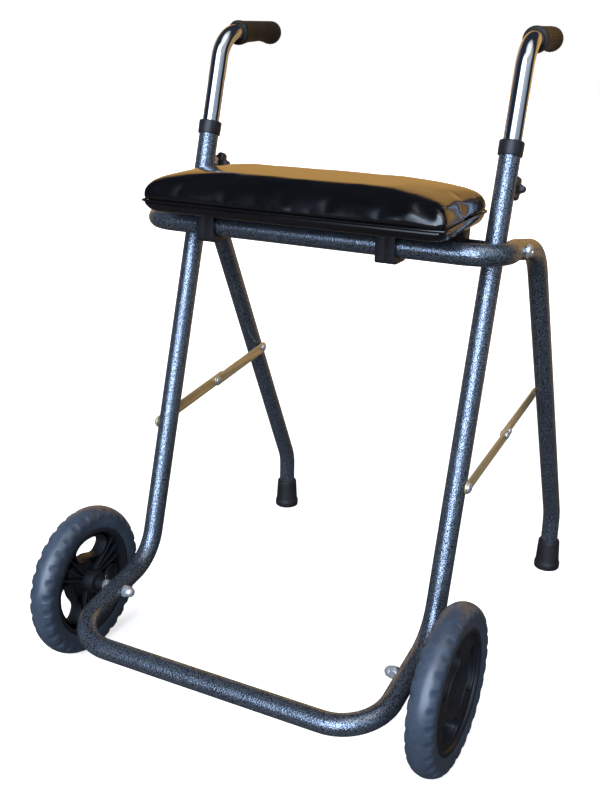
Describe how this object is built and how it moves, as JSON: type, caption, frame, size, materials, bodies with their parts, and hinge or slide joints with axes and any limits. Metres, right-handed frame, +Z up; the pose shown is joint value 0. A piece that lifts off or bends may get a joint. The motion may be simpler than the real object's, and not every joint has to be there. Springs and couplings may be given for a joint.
{
  "type": "folding walking frame",
  "caption": "Folding walking frame: front wheels, rubber rear feet, fold-up seat between the posts, side braces and height-adjustable handles.",
  "frame": {"origin": "centre of the bounding box at floor level", "axes": "+Z up; +Y towards the person who walks behind the frame; +X to the right of somebody who faces the frame's wheeled front"},
  "size_m": [0.545, 0.6593, 0.8079],
  "materials": {
    "frame_paint": "glossy hammered grey-blue paint",
    "chrome": "bright chrome plate",
    "zinc": "bright zinc plate",
    "brace_strip": "plated steel strip with a warm reflection",
    "black_plastic": "satin black",
    "hub_plastic": "satin black",
    "foot_rubber": "matt black",
    "grip": "satin dark brown-black",
    "tyre": "matt grey-blue",
    "vinyl": "glossy black vinyl"
  },
  "bodies": {
    "front_frame": {"front_frame_tube": "frame_paint", "pivot_rod": "black_plastic", "collar_left": "black_plastic", "clamp_nut_left": "zinc", "pivot_bolt_left": "zinc", "pivot_washer_left": "black_plastic", "axle_nut_left": "zinc", "axle_spacer_left": "black_plastic", "axle_bolt_left": "zinc", "dome_nut_left": "zinc", "brace_post_rivet_left": "zinc", "collar_right": "black_plastic", "clamp_nut_right": "zinc", "pivot_bolt_right": "zinc", "pivot_washer_right": "black_plastic", "axle_nut_right": "zinc", "axle_spacer_right": "black_plastic", "axle_bolt_right": "zinc", "dome_nut_right": "zinc", "brace_post_rivet_right": "zinc"},
    "rear_frame": {"rear_frame_tube": "frame_paint", "seat_board": "vinyl", "seat_cushion": "vinyl", "foot_left": "foot_rubber", "seat_clip_left": "black_plastic", "seat_saddle_left": "black_plastic", "foot_right": "foot_rubber", "seat_clip_right": "black_plastic", "seat_saddle_right": "black_plastic"},
    "handle_left": {"handle_tube_left": "chrome", "grip_left": "grip"},
    "knob_left": {"clamp_knob_left": "black_plastic", "knob_stud_left": "zinc"},
    "wheel_left": {"tyre_left": "tyre", "hub_left": "hub_plastic", "hub_cap_left": "hub_plastic", "hub_bush_left": "zinc"},
    "brace_front_left": {"brace_front_link_left": "brace_strip", "brace_mid_rivet_left": "zinc", "brace_stop_rivet_left": "zinc"},
    "brace_rear_left": {"brace_rear_link_left": "brace_strip", "brace_leg_rivet_left": "zinc"},
    "handle_right": {"handle_tube_right": "chrome", "grip_right": "grip"},
    "knob_right": {"clamp_knob_right": "black_plastic", "knob_stud_right": "zinc"},
    "wheel_right": {"tyre_right": "tyre", "hub_right": "hub_plastic", "hub_cap_right": "hub_plastic", "hub_bush_right": "zinc"},
    "brace_front_right": {"brace_front_link_right": "brace_strip", "brace_mid_rivet_right": "zinc", "brace_stop_rivet_right": "zinc"},
    "brace_rear_right": {"brace_rear_link_right": "brace_strip", "brace_leg_rivet_right": "zinc"}
  },
  "joints": [
    {"name": "fold", "type": "hinge", "parent": "front_frame", "child": "rear_frame", "pos_m": [0, -0.0056, 0.562], "axis": [-1, 0, 0], "range_deg": [0, 43]},
    {"name": "handle_left_height", "type": "slide", "parent": "front_frame", "child": "handle_left", "axis": [0, 0.2873, 0.9578], "range_m": [0, 0.04]},
    {"name": "knob_left_turn", "type": "hinge", "parent": "front_frame", "child": "knob_left", "pos_m": [-0.206, 0.016, 0.634], "axis": [0, 0.9578, -0.2873], "range_deg": [0, 360]},
    {"name": "wheel_left_spin", "type": "hinge", "parent": "front_frame", "child": "wheel_left", "pos_m": [-0.256, -0.21605, 0.1], "axis": [1, 0, 0], "continuous": true},
    {"name": "brace_front_left_swing", "type": "hinge", "parent": "front_frame", "child": "brace_front_left", "pos_m": [-0.22025, -0.08725, 0.2898], "axis": [-1, 0, 0], "range_deg": [0, 104.92]},
    {"name": "brace_rear_left_swing", "type": "hinge", "parent": "brace_front_left", "child": "brace_rear_left", "pos_m": [-0.21885, 0.05877, 0.3067], "axis": [-1, 0, 0], "range_deg": [-150.17, 0]},
    {"name": "handle_right_height", "type": "slide", "parent": "front_frame", "child": "handle_right", "axis": [0, 0.2873, 0.9578], "range_m": [0, 0.04]},
    {"name": "knob_right_turn", "type": "hinge", "parent": "front_frame", "child": "knob_right", "pos_m": [0.206, 0.016, 0.634], "axis": [0, 0.9578, -0.2873], "range_deg": [0, 360]},
    {"name": "wheel_right_spin", "type": "hinge", "parent": "front_frame", "child": "wheel_right", "pos_m": [0.256, -0.21605, 0.1], "axis": [1, 0, 0], "continuous": true},
    {"name": "brace_front_right_swing", "type": "hinge", "parent": "front_frame", "child": "brace_front_right", "pos_m": [0.22025, -0.08725, 0.2898], "axis": [-1, 0, 0], "range_deg": [0, 104.92]},
    {"name": "brace_rear_right_swing", "type": "hinge", "parent": "brace_front_right", "child": "brace_rear_right", "pos_m": [0.21885, 0.05877, 0.3067], "axis": [-1, 0, 0], "range_deg": [-150.17, 0]}
  ],
  "couplings": [
    {"joint": "brace_front_left_swing", "follows": "fold", "ratio": 2.4284},
    {"joint": "brace_rear_left_swing", "follows": "fold", "ratio": -3.4806},
    {"joint": "brace_front_right_swing", "follows": "fold", "ratio": 2.4284},
    {"joint": "brace_rear_right_swing", "follows": "fold", "ratio": -3.4806}
  ]
}
